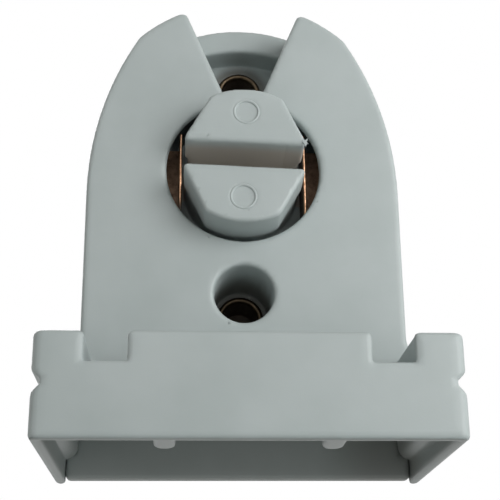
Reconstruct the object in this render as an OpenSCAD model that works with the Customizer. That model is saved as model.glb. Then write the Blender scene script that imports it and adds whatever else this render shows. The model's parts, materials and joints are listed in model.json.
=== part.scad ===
// Rotary lamp holder for tubular fluorescent lamps with two-pin caps.
// It stands upright on the open rim of its base: X runs across the face, Y runs from
// the front (negative) to the back, and Z runs up. The origin is at the middle of the
// footprint, on the plane of the rim.

/* [Base] */
// Width of the base across its two lugs
base_w = 46; // [43:0.5:50]
// Height of the base, up to the shelf in front of the face
base_h = 11.6; // [11:0.1:12.6]
// Thickness of the front wall and of the roof over the wiring space
base_wall = 1.5; // [1.2:0.1:1.8]
// Thickness of the side walls at the open rim
rim_wall = 1.3; // [1.1:0.1:1.5]
// Radius of the base's upright corners
corner_r = 1.2; // [0.5:0.1:2]
// Radius of the base's upper side edges
shoulder_r = 0.7; // [0.3:0.1:1.2]
// Width of the ledge inside each side wall, behind the side groove
ledge_w = 1.6; // [1.4:0.1:2]
// Height of the ledge's rounded foot above the rim
ledge_z = 2.7; // [1.5:0.1:3]
// Distance from the middle to the inner side of each pocket
pocket_x = 13; // [12.5:0.1:14]
// Width of each pocket in the front of the shelf
pocket_w = 4.6; // [3.5:0.1:5]
// Depth of each pocket below the shelf
pocket_h = 3.3; // [2:0.1:3.6]
// Height of the middle of the side grooves
groove_z = 6.1; // [5.6:0.1:6.3]
// Height of the side grooves at their mouth
groove_h = 2.4; // [2:0.1:2.8]
// Depth of the side grooves
groove_d = 1; // [0.8:0.1:1.4]
// Height of the side grooves at their floor
groove_floor = 0.6; // [0.4:0.1:1.2]
// Thickness of the wall left between each side groove and the cover
groove_wall = 1.4; // [0.9:0.1:1.6]
// Distance from the middle to each rib behind the front wall
rib_x = 9; // [5:0.5:10]
// Radius of the ribs' round ends, which is half of their thickness
rib_r = 1.2; // [0.8:0.05:1.6]
// Length of the ribs behind the front wall
rib_d = 4.6; // [3:0.1:5]
// Radius of the fillet between the arch and the shelf beside it
foot_fillet = 3; // [1:0.1:3.4]

/* [Arch] */
// Width of the arched body between its straight sides
arch_w = 38.4; // [36.4:0.5:39.4]
// Depth of the arched body, from its face to its back
arch_d = 17.4; // [16.4:0.2:20.4]
// Height at which the straight sides start to bend inwards
spring_z = 33; // [31:0.5:35]
// Radius of the long side arcs of the arch
side_r = 41.7; // [39.2:0.5:45.2]
// Radius of the arch's crown
crown_r = 18.9; // [18.2:0.1:19.1]
// Height of the crown's centre above the rotor's axis
crown_up = 4.9; // [4.1:0.1:5.4]
// Distance of the face behind the front of the base
face_set = 12.6; // [11.5:0.1:13]
// Thickness of the face and of the walls that stand behind it
face_wall = 1.5; // [1.3:0.1:1.6]
// Thickness of the arch's side walls
arch_wall = 2; // [1.8:0.1:2.4]
// Thickness of the arch over the crown
crown_wall = 3.3; // [2.6:0.1:3.6]

/* [Entry slot] */
// Width of the entry slot where it meets the rotor's hole
entry_w = 4.1; // [3.6:0.1:4.6]
// Angle between each side of the entry slot and the upright
entry_angle = 22.4; // [18:0.2:25]
// Depth of the entry slot behind the face, down to the rear rim
entry_d = 7; // [6.4:0.1:7.6]
// Radius of the two tips beside the entry slot
tip_r = 0.8; // [0.5:0.1:1.2]
// Distance from the wall behind the slot and the wells to the cover
web_gap = 2.6; // [2:0.1:3.2]

/* [Rotor] */
// Height of the rotor's axis above the rim
axis_z = 36.1; // [35.6:0.1:36.6]
// Radius of the rotor's drum
rotor_r = 8.8; // [8.6:0.05:9]
// Running gap between the drum and its hole
rotor_gap = 0.7; // [0.4:0.05:0.8]
// How far the rotor stands out in front of the face
rotor_out = 4.4; // [3:0.1:5]
// Half of the rotor's width over the two ends of its slot
slot_reach = 7.3; // [7:0.05:7.35]
// Width of the pin slot
slot_w = 3; // [2.8:0.1:3.4]
// Depth of the pin slot from the rotor's front
slot_d = 8.4; // [8:0.1:9.4]
// Radius of the rounded lips of the pin slot
lip_r = 0.6; // [0.2:0.05:0.8]
// Height of the short upright end of the rotor's side, above and below the slot's middle
cheek_h = 2.1; // [2:0.05:2.4]
// Angle of the drum's slanted flats from the upright
flat_angle = 27.5; // [24:0.5:30]
// Turn of the rotor in its hole, clockwise from the front
rotor_turn = 2.2; // [0:0.1:3]
// Thickness of the flange that keeps the rotor in the body
flange_t = 1.4; // [1:0.1:1.6]
// How far the flange reaches past the edge of the hole
flange_grip = 0.5; // [0.3:0.05:0.6]
// Radius of the rotor's rear journal
journal_r = 3; // [2.5:0.1:3.4]
// Distance from the end of the rear journal to the back of the holder
journal_back = 3.7; // [3.2:0.1:4.6]
// Running gap round the journal
journal_gap = 0.05; // [0.03:0.01:0.1]
// Radius of the two ejector marks on the rotor's front
mark_r = 1.45; // [1:0.05:1.8]
// Distance of the ejector marks from the rotor's axis
mark_reach = 5.6; // [5:0.1:6]
// Depth of the ejector marks
mark_d = 0.15; // [0.05:0.05:0.3]
// Distance from the rotor's axis down to the ends of its guide ring
guide_drop = 4.4; // [3:0.2:6]

/* [Contacts] */
// Thickness of the contact strip
leaf_t = 0.3; // [0.25:0.05:0.4]
// Gap between a contact and the rotor's waist or the walls beside it
leaf_gap = 0.3; // [0.2:0.05:0.4]
// Height of the contact's free end above the rotor's axis
leaf_top = 5.4; // [4:0.1:6]
// Width of the wing bent outwards from the back edge of each blade
wing_w = 3; // [2:0.1:3.5]
// Sideways step from the blade out to the wire clamp's root
root_step = 1.4; // [1:0.1:1.6]
// Height of the slanted stretch between the root and the blade
knee_h = 5; // [3:0.5:6]
// Height of the wire clamp's root above the roof of the base
clamp_h = 8.2; // [7.5:0.1:9]
// Gap between the wire clamp and the side wall of the arch
clamp_play = 1.85; // [1.4:0.05:2.4]
// Height at which the clamp's outer wall bends over into the tongues
hinge_h = 2.9; // [2.4:0.1:3.4]
// Height of the tongues' tips above the foot of the clamp
tongue_h = 6.1; // [5:0.1:6.6]
// How far the ribs beside the clamp end below its root
nest_drop = 1; // [0.5:0.1:1.4]
// Radius of each wire hole in the roof
wire_r = 1.1; // [0.9:0.05:1.2]

/* [Cover and rivets] */
// Thickness of the back cover
cover_t = 2.2; // [1.8:0.1:2.4]
// Gap round the edge of the cover
cover_gap = 0.1; // [0.05:0.05:0.25]
// Height of the cover's lower edge above the rim
cover_lift = 0.4; // [0.3:0.1:0.8]
// Distance of both rivets from the rotor's axis
rivet_reach = 16.2; // [16:0.1:16.6]
// Radius of the round wells in front of the rivets
well_r = 3.6; // [3.4:0.05:3.8]
// Outer radius of the rivet's shank
shank_r = 2.55; // [2.3:0.05:2.6]
// Thickness of the rivet's tube
tube_t = 0.35; // [0.25:0.05:0.5]
// Radius of the rivet's rolled rim and of its head
rivet_r = 3; // [2.9:0.05:3.1]
// Thickness of the rivet's head
head_t = 0.9; // [0.7:0.1:1.2]
// Gap between the rivet and the hole it passes through
rivet_gap = 0.1; // [0.05:0.01:0.15]

/* [Hidden] */
$fn = 120;
eps = 0.01;
past = 5;
overrun = 1.3;

plastic = [0.72, 0.75, 0.74];
bronze = [0.72, 0.47, 0.28];
brass = [0.74, 0.56, 0.34];

base_d = face_set + arch_d;
front_y = -base_d / 2;
back_y = base_d / 2;
face_y = front_y + face_set;
inner_y = face_y + face_wall;
rim_y = face_y + entry_d;
cover_y = back_y - cover_t;
web_y = cover_y - web_gap;
floor_y = web_y - face_wall;
roof_z = base_h - base_wall;
crown_z = axis_z + crown_up;
top_z = crown_z + crown_r;
side_z = axis_z - rivet_reach;
upper_z = axis_z + rivet_reach;

hole_r = rotor_r + rotor_gap;
guide_r = hole_r + face_wall;
flange_r = hole_r + flange_grip;
flange_room_r = flange_r + leaf_gap;
flange_y = rim_y + leaf_gap;
journal_y = flange_y + flange_t;
journal_end_y = back_y - journal_back;

leaf_y = inner_y + leaf_gap / 2;
leaf_w = rim_y - leaf_y;
leaf_x = slot_reach + leaf_gap + leaf_t / 2;
root_x = leaf_x + root_step;
nest_x = root_x - leaf_t / 2;
wire_x = root_x + leaf_t / 2 + wire_r + leaf_gap / 2;
clamp_x = arch_w / 2 - arch_wall - clamp_play;
clamp_w = clamp_x - root_x;
clamp_top_z = base_h + clamp_h;
leaf_mid_y = leaf_y + leaf_w / 2;

function entry_half(z) = entry_w / 2 + (z - axis_z - hole_r) * tan(entry_angle);

// Extrudes a drawing of the front view from one depth to another.
module along_y(from_y, to_y) {
    translate([0, to_y, 0])
        rotate([90, 0, 0])
            linear_extrude(to_y - from_y)
                children();
}

// A round bar along the depth.
module rod_y(x, z, r, from_y, to_y) {
    translate([x, to_y, z])
        rotate([90, 0, 0])
            cylinder(r = r, h = to_y - from_y);
}

module both_sides() {
    children();
    mirror([1, 0, 0])
        children();
}

// The arch seen from the front: straight sides, two long side arcs and a round crown.
module arch_outline(side_inset, crown_inset) {
    intersection() {
        union() {
            translate([0, crown_z])
                circle(crown_r - crown_inset);
            translate([-base_w, 0])
                square([2 * base_w, crown_z]);
        }
        union() {
            intersection() {
                translate([side_r - arch_w / 2, spring_z])
                    circle(side_r - side_inset);
                translate([arch_w / 2 - side_r, spring_z])
                    circle(side_r - side_inset);
            }
            translate([side_inset - arch_w / 2, 0])
                square([arch_w - 2 * side_inset, spring_z]);
        }
    }
}

// The wedge of the entry slot, widened on both sides by a wall.
module entry_wedge(wall, from_z) {
    shift = wall / cos(entry_angle);
    low = entry_half(from_z) + shift;
    high = entry_half(top_z + past) + shift;
    polygon([[-low, from_z], [low, from_z], [high, top_z + past], [-high, top_z + past]]);
}

// The base seen from the front: round shoulders, and a notch in each side.
module base_outline() {
    difference() {
        union() {
            translate([-base_w / 2, 0])
                square([base_w, base_h - shoulder_r]);
            translate([shoulder_r - base_w / 2, 0])
                square([base_w - 2 * shoulder_r, base_h]);
            for (side = [-1, 1])
                translate([side * (base_w / 2 - shoulder_r), base_h - shoulder_r])
                    circle(shoulder_r);
        }
        both_sides_2d()
            polygon([
                [base_w / 2 + eps, groove_z - groove_h / 2 - eps],
                [base_w / 2 - groove_d, groove_z - groove_floor / 2],
                [base_w / 2 - groove_d, groove_z + groove_floor / 2],
                [base_w / 2 + eps, groove_z + groove_h / 2 + eps]
            ]);
    }
}

module both_sides_2d() {
    children();
    mirror([1, 0])
        children();
}

// The base seen from above, with round upright corners.
module base_plan() {
    translate([-base_w / 2, front_y + corner_r])
        square([base_w, base_d - 2 * corner_r]);
    translate([corner_r - base_w / 2, front_y])
        square([base_w - 2 * corner_r, base_d]);
    for (side = [-1, 1], end = [-1, 1])
        translate([side * (base_w / 2 - corner_r), end * (base_d / 2 - corner_r)])
            circle(corner_r);
}

module base_block() {
    intersection() {
        linear_extrude(base_h)
            base_plan();
        along_y(front_y, back_y)
            base_outline();
    }
}

// The hollow under the roof, with a round-footed ledge along each side wall.
module base_cavity() {
    half = base_w / 2 - rim_wall;
    difference() {
        along_y(front_y + base_wall, back_y + past)
            difference() {
                translate([-half, -past])
                    square([2 * half, roof_z + past]);
                both_sides_2d() {
                    translate([half - ledge_w, ledge_z + ledge_w])
                        square([ledge_w + eps, base_h]);
                    intersection() {
                        translate([half, ledge_z + ledge_w])
                            circle(ledge_w);
                        translate([half - ledge_w, ledge_z])
                            square([ledge_w + eps, ledge_w + eps]);
                    }
                }
            }
        both_sides()
            pocket_box(base_wall);
    }
}

// One pocket in the front of the shelf, or the walls round it.
module pocket_box(wall) {
    outer = (wall > 0) ? base_w / 2 : pocket_x + pocket_w;
    front = (wall > 0) ? front_y : front_y - past;
    translate([pocket_x - wall, front, base_h - pocket_h - wall])
        cube([outer - pocket_x + wall, face_y + wall - front, pocket_h + wall + past]);
}

module fillets() {
    both_sides()
        along_y(face_y, back_y)
            difference() {
                translate([arch_w / 2 - eps, base_h - eps])
                    square(foot_fillet + eps);
                translate([arch_w / 2 + foot_fillet, base_h + foot_fillet])
                    circle(foot_fillet);
            }
}

// The recess in the back that takes the cover, or the cover's own outline.
module cover_outline(gap, low_z) {
    foot_half = base_w / 2 - rim_wall - gap;
    half = base_w / 2 - groove_d - groove_wall - gap;
    difference() {
        union() {
            arch_outline(rim_wall + gap, rim_wall + gap);
            translate([-half, 0])
                square([2 * half, base_h - rim_wall - gap]);
            translate([-foot_half, 0])
                square([2 * foot_half, groove_z - groove_h / 2 - rim_wall - gap]);
        }
        translate([-base_w, -past])
            square([2 * base_w, low_z + past]);
    }
}

// The walls inside the arch: entry slot, web behind it, rotor guide, well and nests.
module inner_walls() {
    intersection() {
        along_y(inner_y - eps, web_y)
            arch_outline(arch_wall / 2, crown_wall / 2);
        union() {
            difference() {
                along_y(inner_y - eps, web_y)
                    entry_wedge(face_wall, axis_z + hole_r);
                along_y(inner_y - past, floor_y)
                    entry_wedge(0, axis_z);
                rod_y(0, axis_z, flange_room_r, rim_y, web_y + eps);
            }
            along_y(inner_y - eps, rim_y)
                guide_outline();
            rod_y(0, side_z, well_r + face_wall, inner_y - eps, web_y);
            both_sides()
                nest();
        }
    }
}

// The lower part of the rotor's guide ring, and the rib that ties it to the well.
module guide_outline() {
    half = leaf_x - leaf_t / 2 - leaf_gap * 2;
    intersection() {
        translate([0, axis_z])
            circle(guide_r);
        translate([-half, 0])
            square([2 * half, axis_z - guide_drop]);
    }
    translate([-face_wall / 2, side_z])
        square([face_wall, rivet_reach - hole_r]);
}

// The two ribs that hold one contact's root and wire clamp.
module nest() {
    nest_w = rim_y - inner_y + eps;
    translate([nest_x - face_wall, inner_y - eps, base_h - eps])
        cube([face_wall, nest_w, clamp_h - nest_drop]);
    translate([clamp_x + leaf_t / 2, inner_y - eps, base_h - eps])
        cube([arch_w / 2 - clamp_x, nest_w, clamp_h - 2 * nest_drop]);
}

// The two holes for one contact's wires, each in the middle of its half of the strip.
module wire_holes(from_z, to_z) {
    for (end = [-1, 1])
        translate([wire_x, leaf_mid_y + end * leaf_w / 4, from_z])
            cylinder(r = wire_r, h = to_z - from_z);
}

// One of the two round-ended ribs that stiffen the front wall from behind.
module rib() {
    length = rib_d - rib_r;
    translate([rib_x - rib_r, front_y + base_wall - eps, 0])
        cube([2 * rib_r, length + eps, roof_z + eps]);
    translate([rib_x, front_y + base_wall + length, 0])
        cylinder(r = rib_r, h = roof_z + eps);
}

// What rounds one tip off: the corner outside a circle that touches the slot and the crown.
module tip_corner() {
    lean = tan(entry_angle);
    reach = crown_r - tip_r;
    start = entry_half(crown_z) + tip_r / cos(entry_angle);
    rise = (sqrt(reach * reach * (1 + lean * lean) - start * start) - start * lean)
        / (1 + lean * lean);
    centre = [start + lean * rise, crown_z + rise];
    to_slot = [-cos(entry_angle), sin(entry_angle)];
    to_crown = [centre[0], rise] / reach;
    corner = centre + (to_slot + to_crown) * tip_r * overrun / (1 + to_slot * to_crown);
    difference() {
        polygon([centre, centre + to_slot * tip_r, corner, centre + to_crown * tip_r]);
        translate(centre)
            circle(tip_r);
    }
}

// The entry slot, open at the top in front of the rear rim, and the recess behind it.
module entry_cut() {
    along_y(face_y - past, rim_y) {
        entry_wedge(0, axis_z + hole_r / 2);
        both_sides_2d()
            tip_corner();
    }
    along_y(face_y - past, floor_y)
        intersection() {
            entry_wedge(0, axis_z + hole_r / 2);
            arch_outline(arch_wall, crown_wall);
        }
}

module housing_shell() {
    difference() {
        union() {
            base_block();
            along_y(face_y, back_y)
                arch_outline(0, 0);
            fillets();
        }
        base_cavity();
        along_y(inner_y, back_y + past)
            difference() {
                arch_outline(arch_wall, crown_wall);
                translate([-base_w, -past])
                    square([2 * base_w, base_h + past]);
            }
        along_y(cover_y, back_y + past)
            cover_outline(0, -1);
        both_sides()
            pocket_box(0);
    }
}

module housing() {
    color(plastic)
        difference() {
            union() {
                housing_shell();
                inner_walls();
                both_sides()
                    rib();
            }
            entry_cut();
            rod_y(0, axis_z, hole_r, face_y - past, rim_y + eps);
            for (z = [side_z, upper_z])
                rod_y(0, z, shank_r + rivet_gap, face_y, web_y + past);
            rod_y(0, side_z, well_r, face_y - past, floor_y);
            both_sides()
                wire_holes(roof_z - past, base_h + eps);
        }
}

module back_cover() {
    boss_y = journal_y + leaf_gap;
    head_y = back_y - head_t - rivet_gap;
    color(plastic)
        difference() {
            union() {
                along_y(cover_y, back_y)
                    cover_outline(cover_gap, cover_lift);
                rod_y(0, axis_z, journal_r + journal_gap + face_wall, boss_y, cover_y + eps);
                for (z = [side_z, upper_z])
                    rod_y(0, z, well_r, web_y, cover_y + eps);
                both_sides()
                    translate([clamp_x - face_wall, rim_y + leaf_gap / 2, base_h + leaf_gap])
                        cube([face_wall, cover_y - rim_y, clamp_h - 2 * nest_drop]);
            }
            rod_y(0, axis_z, journal_r + journal_gap, boss_y - eps,
                  journal_end_y + leaf_gap);
            for (z = [side_z, upper_z]) {
                rod_y(0, z, shank_r + rivet_gap, web_y - eps, back_y + eps);
                rod_y(0, z, rivet_r + rivet_gap * 2, head_y, back_y + eps);
            }
        }
}

// The drum seen from the front: a disc cut by four slanted flats and two short ends.
module drum_outline() {
    reach = rotor_r + past;
    lean = (reach - cheek_h) * tan(flat_angle);
    intersection() {
        circle(rotor_r);
        polygon([
            [slot_reach, -cheek_h], [slot_reach, cheek_h],
            [slot_reach - lean, reach], [lean - slot_reach, reach],
            [-slot_reach, cheek_h], [-slot_reach, -cheek_h],
            [lean - slot_reach, -reach], [slot_reach - lean, -reach]
        ]);
    }
}

// The pin slot in section: straight walls with rounded lips at the front.
module slot_section(front) {
    translate([front - eps, -slot_w / 2])
        square([slot_d + eps, slot_w]);
    for (side = [-1, 1])
        difference() {
            translate([front - eps, side * (slot_w + lip_r) / 2 - lip_r / 2 - eps])
                square([lip_r + eps, lip_r + 2 * eps]);
            translate([front + lip_r, side * (slot_w / 2 + lip_r)])
                circle(lip_r);
        }
}

module rotor() {
    drum_y = face_y - rotor_out;
    color(plastic)
        translate([0, 0, axis_z])
            rotate([0, rotor_turn, 0])
                difference() {
                    union() {
                        along_y(drum_y, inner_y)
                            drum_outline();
                        rod_y(0, 0, slot_reach, inner_y - eps, flange_y + eps);
                        rod_y(0, 0, flange_r, flange_y, journal_y);
                        rod_y(0, 0, journal_r, journal_y - eps, journal_end_y);
                    }
                    rotate([90, 0, 90])
                        linear_extrude(2 * rotor_r + past, center = true)
                            slot_section(drum_y);
                    for (side = [-1, 1])
                        rod_y(0, side * mark_reach, mark_r, drum_y - past, drum_y + mark_d);
                }
}

function unit(v) = v / norm(v);
function across(v) = [-v[1], v[0]];

// The mitre at one point of a path: the sideways step that keeps the strip's thickness.
function mitre(path, i) =
    let (last = len(path) - 1,
         before = across(unit(path[max(i, 1)] - path[max(i, 1) - 1])),
         after = across(unit(path[min(i + 1, last)] - path[min(i, last - 1)])))
    (before + after) / (1 + before * after);

// A bent strip in the front view, with its middle on the path.
module bent_strip(path) {
    count = len(path);
    one_side = [for (i = [0 : count - 1]) path[i] + mitre(path, i) * leaf_t / 2];
    other_side = [for (i = [count - 1 : -1 : 0]) path[i] - mitre(path, i) * leaf_t / 2];
    polygon(concat(one_side, other_side));
}

// One contact, cut and bent from a single strip: blade, root, foot and two clamp tongues.
module contact() {
    foot_z = base_h + leaf_t / 2;
    hinge_z = foot_z + hinge_h;
    blade_top = [leaf_x, axis_z + leaf_top];
    knee = [leaf_x, clamp_top_z + knee_h];
    root = [root_x, clamp_top_z + leaf_gap];
    heel = [root_x, foot_z];
    toe = [clamp_x, foot_z];
    hinge = [clamp_x, hinge_z];
    tongue = [wire_x - wire_r / 2, foot_z + tongue_h];
    wing_z = knee[1] + wing_w;
    difference() {
        union() {
            along_y(leaf_y, rim_y)
                bent_strip([blade_top, knee, root, heel, toe, hinge, tongue]);
            translate([leaf_x, rim_y - leaf_t, wing_z])
                cube([wing_w, leaf_t, blade_top[1] - wing_z]);
        }
        wire_holes(base_h - past, base_h + 2 * leaf_t);
        translate([root_x + leaf_t, leaf_mid_y - leaf_gap / 2, hinge_z])
            cube([clamp_w - 2 * leaf_t, leaf_gap, clamp_h]);
    }
}

module contact_right() {
    color(bronze)
        contact();
}

module contact_left() {
    color(bronze)
        mirror([1, 0, 0])
            contact();
}

// A tubular rivet: closed head at the back, rolled rim in the well.
module rivet(z) {
    length = back_y - rivet_gap - floor_y;
    bore_r = shank_r - tube_t;
    roll_r = (rivet_r - bore_r) / 2;
    color(brass)
        translate([0, floor_y, z])
            rotate([-90, 0, 0])
                rotate_extrude()
                    difference() {
                        union() {
                            translate([0, -eps])
                                square([shank_r, length + eps]);
                            translate([bore_r + roll_r, 0])
                                circle(roll_r);
                            translate([0, length - head_t])
                                square([rivet_r, head_t]);
                        }
                        translate([-eps, -past])
                            square([bore_r + eps, past + length - head_t - tube_t]);
                        translate([shank_r, 0])
                            square(2 * roll_r);
                    }
}

module upper_rivet() {
    rivet(upper_z);
}

module lower_rivet() {
    rivet(side_z);
}

housing();
back_cover();
rotor();
contact_left();
contact_right();
upper_rivet();
lower_rivet();
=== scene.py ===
# %% [markdown]
# # A rotary lamp holder in moulded plastic
# The holder takes one end of a two-pin tubular lamp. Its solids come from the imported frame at
# their real size, and this script gives them their finish: rounded mould edges, satin plastic,
# bronze strips and the rolled rims of two tubular rivets. The script is read from top to
# bottom, one short cell at a time.

# %% Load the frame
import json
import math

import bmesh
import bpy
import numpy as np
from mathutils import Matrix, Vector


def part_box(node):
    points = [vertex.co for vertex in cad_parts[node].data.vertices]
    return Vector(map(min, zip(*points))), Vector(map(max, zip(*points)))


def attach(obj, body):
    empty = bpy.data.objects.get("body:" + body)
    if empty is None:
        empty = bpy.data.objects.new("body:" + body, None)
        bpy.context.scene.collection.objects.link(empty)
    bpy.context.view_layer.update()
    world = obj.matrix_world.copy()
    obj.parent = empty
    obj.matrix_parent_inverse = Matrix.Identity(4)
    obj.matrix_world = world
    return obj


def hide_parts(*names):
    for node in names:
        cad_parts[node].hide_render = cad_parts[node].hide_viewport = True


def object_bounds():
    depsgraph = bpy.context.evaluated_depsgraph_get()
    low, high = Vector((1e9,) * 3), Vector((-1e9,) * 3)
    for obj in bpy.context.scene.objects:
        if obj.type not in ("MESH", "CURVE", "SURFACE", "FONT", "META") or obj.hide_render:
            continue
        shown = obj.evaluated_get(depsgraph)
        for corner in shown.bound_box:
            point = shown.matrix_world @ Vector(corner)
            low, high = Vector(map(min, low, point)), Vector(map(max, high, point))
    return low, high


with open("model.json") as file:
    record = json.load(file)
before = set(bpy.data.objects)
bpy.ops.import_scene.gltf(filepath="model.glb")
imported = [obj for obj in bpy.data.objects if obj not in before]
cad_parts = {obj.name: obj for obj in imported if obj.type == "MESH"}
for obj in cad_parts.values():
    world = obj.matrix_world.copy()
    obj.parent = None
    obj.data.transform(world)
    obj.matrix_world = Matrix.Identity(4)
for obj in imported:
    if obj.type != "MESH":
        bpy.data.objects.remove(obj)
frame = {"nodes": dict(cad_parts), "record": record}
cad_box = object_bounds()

import openvdb
from mathutils import Matrix, Vector

MM = 0.001
scene = bpy.context.scene
print("nodes:", sorted(frame["nodes"]))

# %% [markdown]
# ## The camera
# The photograph was taken from close by, a little to the left of the holder and below it, so
# the open underside of the base shows. The camera's place and turn are real measures, found by
# matching the corners of the base and the arch. The long lens keeps the upright edges almost
# parallel.

# %% Camera
IMAGE_SIDE = 500
SENSOR_WIDTH = 36
FOCAL_PIXELS = 1155.99
NEAREST = 10 * MM
CAMERA_AT = Vector((-6.82, -132.75, -23.09)) * MM
CAMERA_TILT = math.radians(20.35)
CAMERA_PAN = math.radians(3.32)
CAMERA_ROLL = math.radians(-0.54)


def camera_axes(tilt, pan, roll):
    """The camera's right, up and viewing directions."""
    ahead = Vector((math.sin(pan) * math.cos(tilt), math.cos(pan) * math.cos(tilt), math.sin(tilt)))
    level = Vector((math.cos(pan), -math.sin(pan), 0))
    above = level.cross(ahead)
    right = math.cos(roll) * level + math.sin(roll) * above
    up = math.cos(roll) * above - math.sin(roll) * level
    return right, up, ahead


camera_data = bpy.data.cameras.new("camera")
camera_data.sensor_width = SENSOR_WIDTH
camera_data.lens = SENSOR_WIDTH * FOCAL_PIXELS / IMAGE_SIDE
camera_data.clip_start = NEAREST
camera = bpy.data.objects.new("camera", camera_data)
right, up, ahead = camera_axes(CAMERA_TILT, CAMERA_PAN, CAMERA_ROLL)
turn = Matrix((right, up, -ahead)).transposed().to_4x4()
camera.matrix_world = Matrix.Translation(CAMERA_AT) @ turn
scene.collection.objects.link(camera)
scene.camera = camera
print("lens", round(camera_data.lens, 2), "mm")

# %% [markdown]
# ## Shader maths as plain expressions
# A material's pattern is arithmetic on colours and distances. Wrapping a socket in a small
# class lets that arithmetic be written as Python: `1 - mask` adds a Math node. Any other kind
# of node comes from one method, `Shader.node`.

# %% A socket that can be calculated with


class Value:
    """A node's output that adds Math nodes when it is calculated with."""

    def __init__(self, shader, socket):
        self.shader = shader
        self.socket = socket

    def math(self, operation, *others, first=None):
        """The result of one Math node on this value and the others."""
        inputs = [self, *others] if first is None else [first, self]
        settings = {"operation": operation}
        return self.shader.node("ShaderNodeMath", settings, dict(enumerate(inputs)))

    def __add__(self, other):
        return self.math("ADD", other)

    def __sub__(self, other):
        return self.math("SUBTRACT", other)

    def __rsub__(self, other):
        return self.math("SUBTRACT", first=other)

    def __mul__(self, other):
        return self.math("MULTIPLY", other)

    def __gt__(self, other):
        return self.math("GREATER_THAN", other)

    def __lt__(self, other):
        return self.math("LESS_THAN", other)

    __radd__ = __add__
    __rmul__ = __mul__


class Shader:
    """The nodes of a material or a world, made by type, settings and socket values."""

    def __init__(self, owner):
        owner.use_nodes = True
        self.owner = owner
        self.tree = owner.node_tree
        self.tree.nodes.clear()

    def node(self, kind, settings=None, values=None, output=0):
        """A node with its settings made first, then its sockets filled or linked."""
        node = self.tree.nodes.new(kind)
        stops = (settings or {}).pop("stops", None)
        for key, value in (settings or {}).items():
            setattr(node, key, value)
        if stops:
            set_stops(node.color_ramp, stops)
        for key, value in (values or {}).items():
            self.fill(node.inputs[key], value)
        return Value(self, node.outputs[output])

    def fill(self, socket, value):
        """Links a value, or writes a plain number or colour on the socket."""
        if isinstance(value, Value):
            self.tree.links.new(value.socket, socket)
        elif isinstance(value, (tuple, list)) and len(value) == 3 and socket.type == "RGBA":
            socket.default_value = (*value, 1)
        else:
            socket.default_value = value

    def finish(self, surface, kind="ShaderNodeOutputMaterial"):
        """Sends a surface to the output, and gives back what owns the nodes."""
        output = self.tree.nodes.new(kind)
        self.tree.links.new(surface.socket, output.inputs["Surface"])
        return self.owner


def set_stops(ramp, stops):
    """Gives a ramp its stops: a list of (place, colour)."""
    while len(ramp.elements) < len(stops):
        ramp.elements.new(1)
    for element, (place, colour) in zip(ramp.elements, stops):
        element.position = place
        element.color = colour if len(colour) == 4 else (*colour, 1)


# %% [markdown]
# ## Patterns that the materials share
# Noise on Object coordinates stays still on the piece and has its real scale, because one unit
# is a metre. The helpers give soft noise of a size in millimetres, mix two colours by a mask,
# turn a place or a distance into a soft mask between 0 and 1, and lift the surface a little.

# %% Pattern helpers


def place(shader):
    """The point on the piece, in metres."""
    return shader.node("ShaderNodeTexCoord", output="Object")


def soft_noise(shader, size_mm, detail=2, rough=0.5):
    """Noise between 0 and 1 whose blotches are about size_mm wide."""
    values = {"Vector": place(shader), "Scale": 1 / (size_mm * MM)}
    values |= {"Detail": detail, "Roughness": rough}
    return shader.node("ShaderNodeTexNoise", None, values, output="Fac")


def mixed(shader, mask, first, second):
    """The first colour where the mask is 0, and the second where it is 1."""
    values = {"Factor": mask, 6: first, 7: second}
    return shader.node("ShaderNodeMix", {"data_type": "RGBA"}, values, output=2)


def ramp(shader, value, stops):
    """The value sent through a ramp of grey stops."""
    grey = [(spot, (level, level, level)) for spot, level in stops]
    return shader.node("ShaderNodeValToRGB", {"stops": grey}, {"Fac": value})


def soft_step(shader, value, start, end):
    """0 up to a start, rising smoothly to 1 at an end."""
    settings = {"interpolation_type": "SMOOTHSTEP"}
    values = {"Value": value, "From Min": start, "From Max": end}
    return shader.node("ShaderNodeMapRange", settings, values)


def along(shader, axis):
    """The point's place along X, Y or Z, in metres."""
    return shader.node("ShaderNodeSeparateXYZ", None, {"Vector": place(shader)}, output=axis)


def vector_maths(shader, operation, first, second, output="Vector"):
    """The result of one Vector Math node."""
    settings = {"operation": operation}
    return shader.node("ShaderNodeVectorMath", settings, {0: first, 1: second}, output)


def bumped(shader, height, depth_mm):
    """A surface normal that is lifted by depth_mm where the height is 1."""
    values = {"Height": height, "Distance": depth_mm * MM, "Strength": 1.0}
    return shader.node("ShaderNodeBump", None, values)


# %% [markdown]
# ## The moulded plastic
# The housing, the cover and the rotor are one satin plastic, white but cool. Close up it isn't
# even: flow in the mould leaves soft cloudy patches, the skin has a fine grain, and a few dark
# specks are baked in. The specks come from a cell pattern: a small disc round each cell's
# point, kept in only a few of the cells. Masks paint shade into the colour: a dark shade deep in
# the wells and in the right corner of the hollow base, and a warm shade inside the rotor's slot,
# which stands in for light that comes through the plastic.

# %% Specks
SPECK = (0.05, 0.045, 0.04)
SPECK_CELL_MM = 3.2
SPECK_RADIUS_MM = 0.09
SPECK_SHARE = 0.03
SPECK_STRENGTH = 0.8


def specks(shader):
    """The specks' strength on a few small discs, one in some of the cells, and 0 elsewhere."""
    settings = {"feature": "F1"}
    values = {"Vector": place(shader), "Scale": 1 / (SPECK_CELL_MM * MM)}
    distance = shader.node("ShaderNodeTexVoronoi", settings, values, output="Distance")
    colour = shader.node("ShaderNodeTexVoronoi", settings, values, output="Color")
    chance = shader.node("ShaderNodeSeparateColor", None, {"Color": colour}, output="Red")
    on_disc = distance < SPECK_RADIUS_MM / SPECK_CELL_MM
    return on_disc * (chance < SPECK_SHARE) * SPECK_STRENGTH
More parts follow.
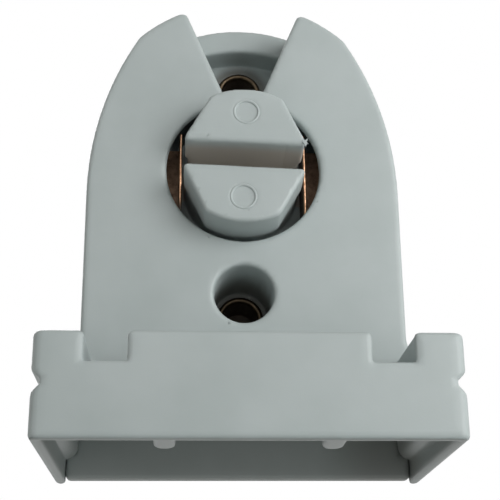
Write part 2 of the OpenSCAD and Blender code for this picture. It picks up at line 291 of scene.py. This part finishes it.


# %% Painted shade in the wells and the corner
# Painted shade: the colour of the wells and the base's right corner where they lie in shade.
RECESS_SHADE = (0.09, 0.082, 0.066)
WELL_RADIUS = 3.2 * MM
WELL_DEPTH = 6.5 * MM
WELL_SHADE_REACH = 4.8 * MM
WELL_SHADE_STRENGTH = 0.8
CORNER_SHADE_AT = (19.5 * MM, 12.8 * MM, 4 * MM)
CORNER_SHADE_CORE = 2 * MM
CORNER_SHADE_REACH = 11 * MM
CORNER_SHADE_STRENGTH = 0.5
BASE_INSIDE = (21.75 * MM, 14.5 * MM)


def painted_recess_shade(shader):
    """Painted shade: strongest deep inside the two wells, weaker in the base's right corner, else 0.
    """
    flat = vector_maths(shader, "MULTIPLY", place(shader), (1, 0, 1))
    wells = 0
    for node in ("upper_rivet", "lower_rivet"):
        low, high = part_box(node)
        axis = ((low[0] + high[0]) / 2, 0, (low[2] + high[2]) / 2)
        reach = vector_maths(shader, "DISTANCE", flat, axis, "Value")
        wells = (1 - soft_step(shader, reach, WELL_RADIUS, WELL_SHADE_REACH)) + wells
    wells = wells * soft_step(shader, along(shader, "Y"), 0, WELL_DEPTH)
    # Painted shade in the right inner corner of the hollow base.
    reach = vector_maths(shader, "DISTANCE", place(shader), CORNER_SHADE_AT, "Value")
    inside = (along(shader, "X") < BASE_INSIDE[0]) * (along(shader, "Y") < BASE_INSIDE[1])
    corner_shade = (1 - soft_step(shader, reach, CORNER_SHADE_CORE, CORNER_SHADE_REACH)) * inside
    return wells * WELL_SHADE_STRENGTH + corner_shade * CORNER_SHADE_STRENGTH


# %% Shade in the rotor's slot
# Painted shade: a warm tint deep inside the rotor's slot.
SLOT_SHADE = (0.435, 0.415, 0.375)
ROTOR_AXIS = Vector(frame["record"]["behaviour"]["joints"][0]["pos_m"])
ROTOR_TURN = math.radians(2.2)
SLOT_HALF = 1.6 * MM
SLOT_FADE = 0.4 * MM
SHADE_FROM = 0.6 * MM
SHADE_FULL = 3 * MM
rotor_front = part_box("rotor")[0][1]


def slot_shade(shader):
    """Where a warm shade is painted: 1 deep inside the rotor's slot, and 0 elsewhere."""
    upright = (math.sin(ROTOR_TURN), 0, math.cos(ROTOR_TURN))
    height = vector_maths(shader, "DOT_PRODUCT", place(shader), upright, "Value")
    off_middle = (height - ROTOR_AXIS.z * upright[2]).math("ABSOLUTE")
    inside = 1 - soft_step(shader, off_middle, SLOT_HALF, SLOT_HALF + SLOT_FADE)
    depth = along(shader, "Y")
    return inside * soft_step(shader, depth, rotor_front + SHADE_FROM, rotor_front + SHADE_FULL)


# %% Plastic
PLASTIC = (0.388, 0.44, 0.436)
PLASTIC_PALE = (0.423, 0.475, 0.473)
PATCH_MM = 9
PATCH_STOPS = [(0.35, 0), (0.65, 1)]
GRAIN_MM = 0.25
GRAIN_ROUGHNESS = 0.12
GRAIN_HEIGHT = 0.35
WAVE_MM = 3.0
SKIN_DEPTH_MM = 0.02


def plastic_material(name, roughness, shade, shade_colour):
    """Cool white moulded plastic with patches, grain and specks, and a mask of painted shade of its
    own.
    """
    shader = Shader(bpy.data.materials.new(name))
    patches = ramp(shader, soft_noise(shader, PATCH_MM, detail=3), PATCH_STOPS)
    clean = mixed(shader, patches, PLASTIC, PLASTIC_PALE)
    shaded = mixed(shader, shade(shader), clean, shade_colour)
    colour = mixed(shader, specks(shader), shaded, SPECK)
    grain = soft_noise(shader, GRAIN_MM, detail=4, rough=0.6)
    waves = soft_noise(shader, WAVE_MM, detail=1)
    surface = shader.node("ShaderNodeBsdfPrincipled", None, {
        "Base Color": colour,
        "Roughness": roughness + grain * GRAIN_ROUGHNESS,
        "Normal": bumped(shader, grain * GRAIN_HEIGHT + waves, SKIN_DEPTH_MM),
    })
    return shader.finish(surface)


MATERIALS = {}
# The housing's and the cover's plastic carries the painted shade of the wells and the corner.
MATERIALS["moulded_plastic"] = plastic_material(
    "moulded_plastic", roughness=0.42, shade=painted_recess_shade, shade_colour=RECESS_SHADE)
# The rotor's plastic carries the warm painted shade in its slot.
MATERIALS["rotor_plastic"] = plastic_material(
    "rotor_plastic", roughness=0.38, shade=slot_shade, shade_colour=SLOT_SHADE)

# %% [markdown]
# ## Bronze and brass
# The contact strips are bare bronze. Their cut front edges are bright, because the pins and the
# shears rub them, and their flat sides are dark brown: partly tarnish and partly painted shade.
# The rivets are drawn brass whose rolled rims still shine a little and whose bores are nearly
# black; all their colours are dark, partly old brass and partly painted shade of the wells they
# sit in. So both metals fade from bright to dark with the depth inside the piece's own two ends,
# which the frame gives: partly tarnish and partly painted shade where less light reaches, and a
# patchy tarnish breaks that up. Where the metal is dark it is coated by its brown tarnish, which
# isn't a metal, so it is less metallic there, and that darkens it further like shade. The left
# strip's lower half is painted dark as shade, so only its upper half is bright.

# %% Where the metal is bright
# Painted shade on the left strip's lower half: where the strip lies and where the shade fades out.
LEFT_STRIP_UNTIL = -6 * MM
STRIP_SHADE_FADES_FROM = 31.4 * MM
STRIP_SHADE_GONE_AT = 33 * MM


# Painted shade and tarnish: the mask that darkens a metal deep inside the piece.
def depth_inside(shader, node, fade):
    """0 at a node's front and back ends, rising to 1 over a depth."""
    low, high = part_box(node)
    behind = along(shader, "Y") - low[1]
    ahead_of_back = high[1] - along(shader, "Y")
    return soft_step(shader, behind.math("MINIMUM", ahead_of_back), 0, fade)


def lower_strip_shade(shader):
    """Painted shade: 1 on the left strip's lower half, and 0 elsewhere."""
    left = along(shader, "X") < LEFT_STRIP_UNTIL
    return left * (1 - soft_step(shader, along(shader, "Z"), STRIP_SHADE_FADES_FROM, STRIP_SHADE_GONE_AT))


# %% Metals
TARNISH_MM = 0.7
TARNISH_STOPS = [(0.4, 0), (0.68, 1)]
METAL_LOST = 0.75
BRIGHT_ROUGHNESS = 0.3
TARNISH_ROUGHNESS = 0.15
DULL_ROUGHNESS = 0.25
SCRATCH_MM = 0.12
SCRATCH_DEPTH_MM = 0.01


def metal_material(name, node, fade, bright, worn, shade_and_tarnish):
    """A bare metal, bright at its two ends, darker inside from tarnish and painted shade, with
    tarnish patches.
    """
    shader = Shader(bpy.data.materials.new(name))
    tarnish = ramp(shader, soft_noise(shader, TARNISH_MM, detail=5, rough=0.65), TARNISH_STOPS)
    edge = mixed(shader, tarnish, bright, worn)
    # Tarnish and painted shade deep inside, and painted shade on the left strip's lower half.
    deep = depth_inside(shader, node, fade).math("MAXIMUM", lower_strip_shade(shader))
    surface = shader.node("ShaderNodeBsdfPrincipled", None, {
        "Base Color": mixed(shader, deep, edge, shade_and_tarnish),
        "Metallic": 1 - deep * METAL_LOST,
        "Roughness": BRIGHT_ROUGHNESS + tarnish * TARNISH_ROUGHNESS + deep * DULL_ROUGHNESS,
        "Normal": bumped(shader, soft_noise(shader, SCRATCH_MM, detail=3), SCRATCH_DEPTH_MM),
    })
    return shader.finish(surface)


MATERIALS["contact_bronze"] = metal_material(
    "contact_bronze", "contact_left", fade=0.5 * MM,
    bright=(0.85, 0.52, 0.33), worn=(0.38, 0.19, 0.1), shade_and_tarnish=(0.115, 0.09, 0.068))
# The rivets' colours are all dark: old brass, and painted shade of the wells they sit in.
MATERIALS["rivet_brass"] = metal_material(
    "rivet_brass", "lower_rivet", fade=1.2 * MM,
    bright=(0.11, 0.082, 0.052), worn=(0.07, 0.052, 0.035), shade_and_tarnish=(0.09, 0.07, 0.052))

# %% [markdown]
# ## The stage
# The holder stands on a plain pale floor. The photograph looks up from below the floor's level,
# so the floor lets a ray through that meets its underside, and it casts no shadow itself. For
# the camera alone it is a little brighter, which puts no more light on the holder. It lies a
# tenth of a millimetre above the base's rim, and its edge ends inside the rim's plastic. It is
# a frame of four faces with an opening under the hollow base, so that soft light from below
# reaches the hollow as it did in the photograph. The world's own light is weak and a little
# warm, which gives the deep shadows their brown tinge.

# %% Floor and world
FLOOR_HALF = 1.5
FLOOR_COLOUR = (0.82, 0.82, 0.82)
FLOOR_LIFT = 0.6
RIM_COVER = 0.6 * MM
FLOOR_Z = 0.1 * MM
AMBIENT = 0.19
AMBIENT_COLOUR = (1.0, 0.95, 0.88)


def floor_material():
    """Pale from above, clear from below and to shadow rays."""
    shader = Shader(bpy.data.materials.new("floor"))
    below = shader.node("ShaderNodeNewGeometry", output="Backfacing")
    shadow = shader.node("ShaderNodeLightPath", output="Is Shadow Ray")
    matt = shader.node("ShaderNodeBsdfDiffuse", None, {"Color": FLOOR_COLOUR})
    seen = shader.node("ShaderNodeLightPath", output="Is Camera Ray")
    glow = {"Color": FLOOR_COLOUR, "Strength": seen * FLOOR_LIFT}
    lift = shader.node("ShaderNodeEmission", None, glow)
    pale = shader.node("ShaderNodeAddShader", None, {0: matt, 1: lift})
    clear = shader.node("ShaderNodeBsdfTransparent")
    mask = below.math("MAXIMUM", shadow)
    return shader.finish(shader.node("ShaderNodeMixShader", None, {0: mask, 1: pale, 2: clear}))


def ring_corners(low, high):
    """The four corners of a rectangle on the floor."""
    return [(x, y, FLOOR_Z) for x, y in (
        (low[0], low[1]), (high[0], low[1]), (high[0], high[1]), (low[0], high[1]))]


base_low, base_high = cad_box
inner = ring_corners((base_low[0] + RIM_COVER, base_low[1] + RIM_COVER),
                     (base_high[0] - RIM_COVER, base_high[1] - RIM_COVER))
outer = ring_corners((-FLOOR_HALF, -FLOOR_HALF), (FLOOR_HALF, FLOOR_HALF))
sides = [(i, (i + 1) % 4, 4 + (i + 1) % 4, 4 + i) for i in range(4)]
floor_mesh = bpy.data.meshes.new("floor")
floor_mesh.from_pydata(outer + inner, [], sides)
floor_mesh.materials.append(floor_material())
floor = bpy.data.objects.new("floor", floor_mesh)
scene.collection.objects.link(floor)


def world_light(strength, colour):
    """Soft light of a colour, which the camera and reflections see as white."""
    scene.world = bpy.data.worlds.new("world")
    shader = Shader(scene.world)
    seen = shader.node("ShaderNodeLightPath", output="Is Camera Ray")
    for kind in ("Is Transmission Ray", "Is Glossy Ray"):
        seen = seen.math("MAXIMUM", shader.node("ShaderNodeLightPath", output=kind))
    shader.finish(shader.node("ShaderNodeBackground", None, {
        "Color": mixed(shader, seen, colour, (1, 1, 1)),
        "Strength": seen * (1 - strength) + strength}), "ShaderNodeOutputWorld")


world_light(AMBIENT, AMBIENT_COLOUR)

# %% [markdown]
# ## The lamps
# The photograph's light comes from a large lamp close by on the right and a little above. So the
# face gets brighter towards the right, the right arm of the entry slot shades the rear rim, and
# undersides are dark. A second lamp far round the right side lights the right edges, and two
# weak ones, low in front and high on the left, keep the shadows open. The last one stands
# behind, where the photograph doesn't look, and lights the cover.

# %% Lamps


def area_lamp(name, at, target, size, power):
    """Adds a square lamp at a place, aimed at a target."""
    data = bpy.data.lights.new(name, "AREA")
    data.size = size
    data.energy = power
    lamp = bpy.data.objects.new(name, data)
    lamp.location = at
    lamp.rotation_euler = (Vector(target) - Vector(at)).to_track_quat("-Z", "Y").to_euler()
    lamp.visible_camera = False
    scene.collection.objects.link(lamp)


MIDDLE = (0, 0, 0.03)
LAMPS = {
    "key": {"at": (0.16, -0.175, 0.07), "size": 0.15, "power": 0.395},
    "side": {"at": (0.25, -0.05, 0.08), "size": 0.15, "power": 0.08},
    "front": {"at": (0.05, -0.33, -0.07), "size": 0.25, "power": 0.135},
    "left": {"at": (-0.2, -0.2, 0.25), "size": 0.15, "power": 0.045},
    "back": {"at": (-0.12, 0.36, 0.24), "size": 0.25, "power": 1.0},
}
for name, lamp in LAMPS.items():
    area_lamp(name, target=MIDDLE, **lamp)
    print(name, "lamp", lamp["power"], "W")

scene.view_settings.view_transform = "Standard"

# %% [markdown]
# ## Rounding the edges
# A moulding has no knife edges, and the thin highlight along its rounded ones is what makes it
# read as plastic. A bevel works edge by edge and folds over where short edges meet, as they do
# round a well or a notch. A distance field doesn't know edges at all: it holds, on a fine grid,
# how far each point is from the surface. The surface at a small depth inside has lost its sharp
# corners' outermost skin, and the surface at the same height outside that one is back in place,
# but with each outward edge rounded to that radius. Flat faces and inward corners don't move,
# and the points are held to the node's own box, because the grid misses it by a few thousandths
# of a millimetre.

# %% A node's triangles as arrays


def triangles(mesh):
    """A mesh's points in millimetres and the corners of its triangles."""
    mesh.calc_loop_triangles()
    points = np.empty(3 * len(mesh.vertices), dtype=np.float32)
    mesh.vertices.foreach_get("co", points)
    corners = np.empty(3 * len(mesh.loop_triangles), dtype=np.int32)
    mesh.loop_triangles.foreach_get("vertices", corners)
    return points.reshape(-1, 3) / MM, corners.reshape(-1, 3)


# %% The surface at a distance
NO_QUADS = np.zeros((0, 4), dtype=np.int32)
SPARE_CELLS = 3


def surface_at(distance, cell, points, corners, quads, simpler=0.0):
    """The surface at a distance outside a closed one, all in millimetres."""
    grid = openvdb.FloatGrid.createLevelSetFromPolygons(
        points, triangles=corners, quads=quads,
        transform=openvdb.createLinearTransform(voxelSize=cell),
        halfWidth=abs(distance) / cell + SPARE_CELLS)
    return grid.convertToPolygons(isovalue=distance, adaptivity=simpler)


# %% A rounded copy of a node
SIMPLER = 0.1


def rounded_mesh(node, radius, cell):
    """A node's shape with every outward edge rounded. Radius and cell are in millimetres."""
    points, corners = triangles(frame["nodes"][node].data)
    inside = surface_at(-radius, cell, points, corners, NO_QUADS)
    points, corners, quads = surface_at(radius, cell, *inside, simpler=SIMPLER)
    mesh = bpy.data.meshes.new(node + "_rounded")
    faces = [*map(tuple, corners.tolist()), *map(tuple, quads.tolist())]
    mesh.from_pydata(np.clip(points * MM, *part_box(node)).tolist(), [], faces)
    shape = bmesh.new()
    shape.from_mesh(mesh)
    if shape.calc_volume(signed=True) < 0:
        bmesh.ops.reverse_faces(shape, faces=shape.faces)
    shape.to_mesh(mesh)
    shape.free()
    return mesh


# %% [markdown]
# ## Even shading
# The grid's polygons are large on flat stretches and small on the rounds. A Weighted Normal
# modifier lets the large ones decide how a point is shaded, so a flat face looks flat right up
# to its rounded edge. The modifier's result is taken as a plain mesh.

# %% The finished copy of a node


def plain_result(piece):
    """Takes what the modifiers make as the piece's own mesh."""
    seen = piece.evaluated_get(bpy.context.evaluated_depsgraph_get())
    made = bpy.data.meshes.new_from_object(seen)
    piece.modifiers.clear()
    piece.data = made
    made.name = piece.name


def finished(name, node, body, slot, radius, cell):
    """Adds a piece that stands for a node, with rounded edges and its own material."""
    mesh = rounded_mesh(node, radius, cell)
    mesh.shade_smooth()
    piece = bpy.data.objects.new(name, mesh)
    scene.collection.objects.link(piece)
    even = piece.modifiers.new("even_shading", "WEIGHTED_NORMAL")
    even.weight = 50
    even.keep_sharp = False
    plain_result(piece)
    piece.data.materials.clear()
    piece.data.materials.append(MATERIALS[slot])
    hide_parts(node)
    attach(piece, body)
    print(name, "faces", len(piece.data.polygons))


# %% The moulded pieces
finished("housing_moulding", "housing", "holder", "moulded_plastic", radius=0.4, cell=0.15)
finished("cover_moulding", "back_cover", "holder", "moulded_plastic", radius=0.3, cell=0.15)
finished("rotor_moulding", "rotor", "rotor", "rotor_plastic", radius=0.4, cell=0.1)

# %% The metal pieces
for side in ("left", "right"):
    finished(f"strip_{side}", f"contact_{side}", "holder", "contact_bronze", radius=0.08, cell=0.05)
for level in ("upper", "lower"):
    finished(f"rivet_{level}", f"{level}_rivet", "holder", "rivet_brass", radius=0.1, cell=0.05)

# %% [markdown]
# ## Rings that repeat
# The pins that pushed the rotor out of its mould left two round marks, each with a low, soft
# lip. One Geometry Nodes tree makes such rings: a circle swept by a smaller circle, put
# on every point that it is given. The tree's sizes are named inputs, set by their identifiers.

# %% The ring tree
RING_SIDES = 48
BEAD_SIDES = 8


def ring_tree(material):
    """A tree that puts a thin ring, facing the front, on each point of a mesh."""
    tree = bpy.data.node_groups.new("front_rings", "GeometryNodeTree")
    tree.interface.new_socket("Places", in_out="INPUT", socket_type="NodeSocketGeometry")
    for name in ("Ring radius", "Bead radius"):
        socket = tree.interface.new_socket(name, in_out="INPUT", socket_type="NodeSocketFloat")
        socket.subtype = "DISTANCE"
    tree.interface.new_socket("Geometry", in_out="OUTPUT", socket_type="NodeSocketGeometry")
    kinds = ("NodeGroupInput", "GeometryNodeCurvePrimitiveCircle", "GeometryNodeCurvePrimitiveCircle",
             "GeometryNodeCurveToMesh", "GeometryNodeMeshToPoints", "GeometryNodeInstanceOnPoints",
             "GeometryNodeRealizeInstances", "GeometryNodeSetMaterial", "NodeGroupOutput")
    given, ring, bead, sweep, points, put, real, paint, out = (tree.nodes.new(kind) for kind in kinds)
    ring.inputs["Resolution"].default_value = RING_SIDES
    bead.inputs["Resolution"].default_value = BEAD_SIDES
    put.inputs["Rotation"].default_value = (math.radians(90), 0, 0)
    paint.inputs["Material"].default_value = material
    for start, end in (
            (given.outputs["Ring radius"], ring.inputs["Radius"]),
            (given.outputs["Bead radius"], bead.inputs["Radius"]),
            (ring.outputs["Curve"], sweep.inputs["Curve"]),
            (bead.outputs["Curve"], sweep.inputs["Profile Curve"]),
            (given.outputs["Places"], points.inputs["Mesh"]),
            (points.outputs["Points"], put.inputs["Points"]),
            (sweep.outputs["Mesh"], put.inputs["Instance"]),
            (put.outputs["Instances"], real.inputs["Geometry"]),
            (real.outputs["Geometry"], paint.inputs["Geometry"]),
            (paint.outputs["Geometry"], out.inputs["Geometry"])):
        tree.links.new(start, end)
    return tree


def rings(name, places, ring_radius, bead_radius, body, slot):
    """Adds one piece of equal rings, with their centres at the places."""
    mesh = bpy.data.meshes.new(name)
    mesh.from_pydata(places, [], [])
    piece = bpy.data.objects.new(name, mesh)
    scene.collection.objects.link(piece)
    modifier = piece.modifiers.new("rings", "NODES")
    modifier.node_group = ring_tree(MATERIALS[slot])
    sizes = {"Ring radius": ring_radius, "Bead radius": bead_radius}
    for item in modifier.node_group.interface.items_tree:
        if item.name in sizes:
            modifier[item.identifier] = sizes[item.name]
    plain_result(piece)
    piece.data.shade_smooth()
    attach(piece, body)
    print(name, "faces", len(piece.data.polygons))


# %% The ejector marks' lips
MARK_REACH = 5.6 * MM
MARK_RADIUS = 1.5 * MM
LIP_BEAD = 0.18 * MM
LIP_SUNK = 0.145 * MM


def on_rotor(across, up, out=0.0):
    """A point on the rotor's front, from sizes in the rotor's own turned frame."""
    turned = Matrix.Rotation(ROTOR_TURN, 3, "Y") @ Vector((across, 0, up))
    return Vector((turned.x, rotor_front - out, ROTOR_AXIS.z + turned.z))


rings("ejector_lips", [on_rotor(0, side * MARK_REACH, -LIP_SUNK) for side in (-1, 1)],
      MARK_RADIUS, LIP_BEAD, "rotor", "rotor_plastic")

# %% [markdown]
# ## The burr on the rotor's slot
# Where the two halves of the mould met, a ragged flake of plastic stayed on the right end of the
# rotor's slot. Its outline is a few uneven teeth, given a hair's thickness and softened by a
# small bevel.

# %% The burr
BURR_THICK = 0.16 * MM
BURR_OUT = BURR_THICK / 3
BURR_EDGE = 0.04 * MM
EDGE_STEPS = 2
BURR_OUTLINE = [(6.85, 1.9), (7.12, 1.62), (7.3, 1.2), (7.4, 1.62), (7.62, 1.7), (7.4, 1.92),
                (7.6, 2.48), (7.24, 2.14), (6.85, 2.2)]


def slab(name, front, thickness, edge, body, slot):
    """Adds a flat piece with a given front outline, a thickness and softened edges."""
    back = [point + Vector((0, thickness, 0)) for point in front]
    count = len(front)
    sides = [(i, (i + 1) % count, count + (i + 1) % count, count + i) for i in range(count)]
    mesh = bpy.data.meshes.new(name)
    mesh.from_pydata(front + back, [], [range(count), range(count, 2 * count), *sides])
    shape = bmesh.new()
    shape.from_mesh(mesh)
    bmesh.ops.recalc_face_normals(shape, faces=shape.faces)
    shape.to_mesh(mesh)
    shape.free()
    piece = bpy.data.objects.new(name, mesh)
    scene.collection.objects.link(piece)
    bevel = piece.modifiers.new("soft_edges", "BEVEL")
    bevel.width = edge
    bevel.segments = EDGE_STEPS
    plain_result(piece)
    piece.data.materials.append(MATERIALS[slot])
    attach(piece, body)
    print(name, "faces", len(piece.data.polygons))


slab("slot_burr", [on_rotor(x * MM, z * MM, BURR_OUT) for x, z in BURR_OUTLINE],
     BURR_THICK, BURR_EDGE, "rotor", "rotor_plastic")

# %% [markdown]
# ## Laps behind the parting slits
# The cover stands between the side walls of the base with a hair's gap, and in the photograph
# that gap is a dark line, because the cover laps behind it. Each lap is a thin upright tongue
# across the slit, just inside the back.

# %% The laps
LAP_HALF = 0.5 * MM
LAP_THICK = 0.5 * MM
LAP_INSET = 0.5 * MM
LAP_HEIGHT = 7 * MM
LAP_EDGE = 0.1 * MM
cover_low, cover_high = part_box("back_cover")
lap_y = cover_high[1] - LAP_INSET - LAP_THICK
lap_z = cover_low[2] + LAP_HALF
LAP_CORNERS = ((-1, 0), (1, 0), (1, 1), (-1, 1))
for side, x in (("left", cover_low[0]), ("right", cover_high[0])):
    front = [Vector((x + u * LAP_HALF, lap_y, lap_z + v * LAP_HEIGHT)) for u, v in LAP_CORNERS]
    slab(f"lap_{side}", front, LAP_THICK, LAP_EDGE, "holder", "moulded_plastic")
